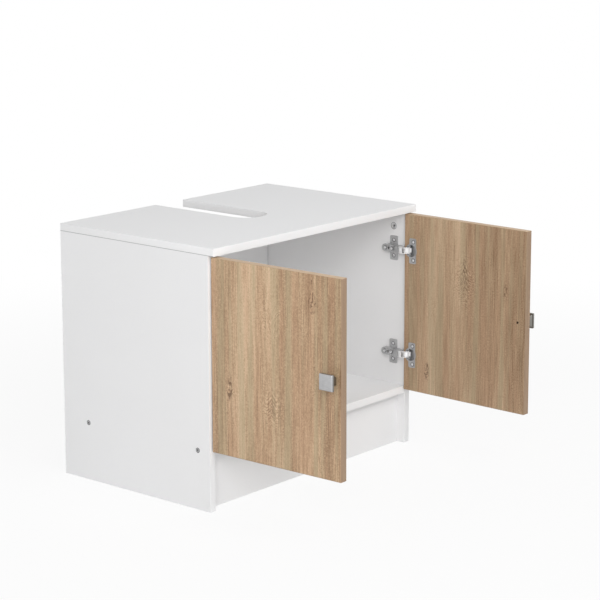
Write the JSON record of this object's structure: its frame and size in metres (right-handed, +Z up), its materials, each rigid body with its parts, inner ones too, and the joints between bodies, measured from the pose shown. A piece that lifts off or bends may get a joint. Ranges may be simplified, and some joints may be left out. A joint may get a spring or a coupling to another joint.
{
  "type": "sink base cabinet",
  "caption": "Low sink base cabinet with white panels, a U-shaped cut-out in the top, a set-back plinth and oak-look doors with square knobs standing open on concealed cup hinges.",
  "frame": {"origin": "on the floor, under the middle of the box round the cabinet with both doors open", "axes": "+X to the right seen from the front, -Y out of the front towards the open doors, +Z up"},
  "size_m": [0.6272, 0.6888, 0.5],
  "materials": {
    "white_board": "chipboard with smooth white melamine facing, semi-matt",
    "oak_board": "chipboard with light oak decor, vertical grain, matt",
    "dowel_beech": "plain beech",
    "knob_metal": "satin nickel",
    "hinge_steel": "bright nickel plate",
    "screw_steel": "bright zinc plate",
    "cam_zinc": "die-cast zinc, dull"
  },
  "bodies": {
    "carcass": {"top_panel": "white_board", "left_side_panel": "white_board", "right_side_panel": "white_board", "bottom_panel": "white_board", "plinth_panel": "white_board", "back_rail": "white_board", "top_cam_locks": "cam_zinc", "top_cam_bolts": "screw_steel", "rail_cam_locks": "cam_zinc", "rail_cam_bolts": "screw_steel", "wood_dowels": "dowel_beech", "connecting_screws": "screw_steel", "plate_screws": "screw_steel", "arm_pins": "hinge_steel", "arm_screws": "screw_steel", "left_upper_mounting_plate": "hinge_steel", "left_upper_hinge_arm": "hinge_steel", "left_lower_mounting_plate": "hinge_steel", "left_lower_hinge_arm": "hinge_steel", "right_upper_mounting_plate": "hinge_steel", "right_upper_hinge_arm": "hinge_steel", "right_lower_mounting_plate": "hinge_steel", "right_lower_hinge_arm": "hinge_steel"},
    "left_outer_links": {"left_upper_outer_link": "hinge_steel", "left_lower_outer_link": "hinge_steel"},
    "left_inner_links": {"left_upper_inner_link": "hinge_steel", "left_lower_inner_link": "hinge_steel"},
    "left_door": {"left_door": "oak_board", "left_knob": "knob_metal", "left_knob_screw": "screw_steel", "left_cup_screws": "screw_steel", "left_cup_pins": "hinge_steel", "left_upper_hinge_cup": "hinge_steel", "left_lower_hinge_cup": "hinge_steel"},
    "right_outer_links": {"right_upper_outer_link": "hinge_steel", "right_lower_outer_link": "hinge_steel"},
    "right_inner_links": {"right_upper_inner_link": "hinge_steel", "right_lower_inner_link": "hinge_steel"},
    "right_door": {"right_door": "oak_board", "right_knob": "knob_metal", "right_knob_screw": "screw_steel", "right_cup_screws": "screw_steel", "right_cup_pins": "hinge_steel", "right_upper_hinge_cup": "hinge_steel", "right_lower_hinge_cup": "hinge_steel"}
  },
  "joints": [
    {"name": "left_door_hinge", "type": "hinge", "parent": "left_outer_links", "child": "left_door", "pos_m": [-0.28263, -0.05364, 0.2992], "axis": [0, 0, 1], "range_deg": [-5.68, 123.13]},
    {"name": "left_outer_link_hinge", "type": "hinge", "parent": "carcass", "child": "left_outer_links", "pos_m": [-0.273, -0.03449, 0.2992], "axis": [0, 0, 1], "range_deg": [-34.3, 1.7]},
    {"name": "left_inner_link_hinge", "type": "hinge", "parent": "carcass", "child": "left_inner_links", "pos_m": [-0.2811, -0.04094, 0.2992], "axis": [0, 0, 1], "range_deg": [-31.2, 1.5]},
    {"name": "right_door_hinge", "type": "hinge", "parent": "right_outer_links", "child": "right_door", "pos_m": [0.28263, -0.05364, 0.2992], "axis": [0, 0, 1], "range_deg": [-123.13, 5.68]},
    {"name": "right_outer_link_hinge", "type": "hinge", "parent": "carcass", "child": "right_outer_links", "pos_m": [0.273, -0.03449, 0.2992], "axis": [0, 0, 1], "range_deg": [-1.7, 34.3]},
    {"name": "right_inner_link_hinge", "type": "hinge", "parent": "carcass", "child": "right_inner_links", "pos_m": [0.2811, -0.04094, 0.2992], "axis": [0, 0, 1], "range_deg": [-1.5, 31.2]}
  ],
  "couplings": [
    {"joint": "left_outer_link_hinge", "follows": "left_door_hinge", "ratio": -0.27798},
    {"joint": "left_inner_link_hinge", "follows": "left_door_hinge", "ratio": -0.25271},
    {"joint": "right_outer_link_hinge", "follows": "right_door_hinge", "ratio": -0.27798},
    {"joint": "right_inner_link_hinge", "follows": "right_door_hinge", "ratio": -0.25271}
  ]
}
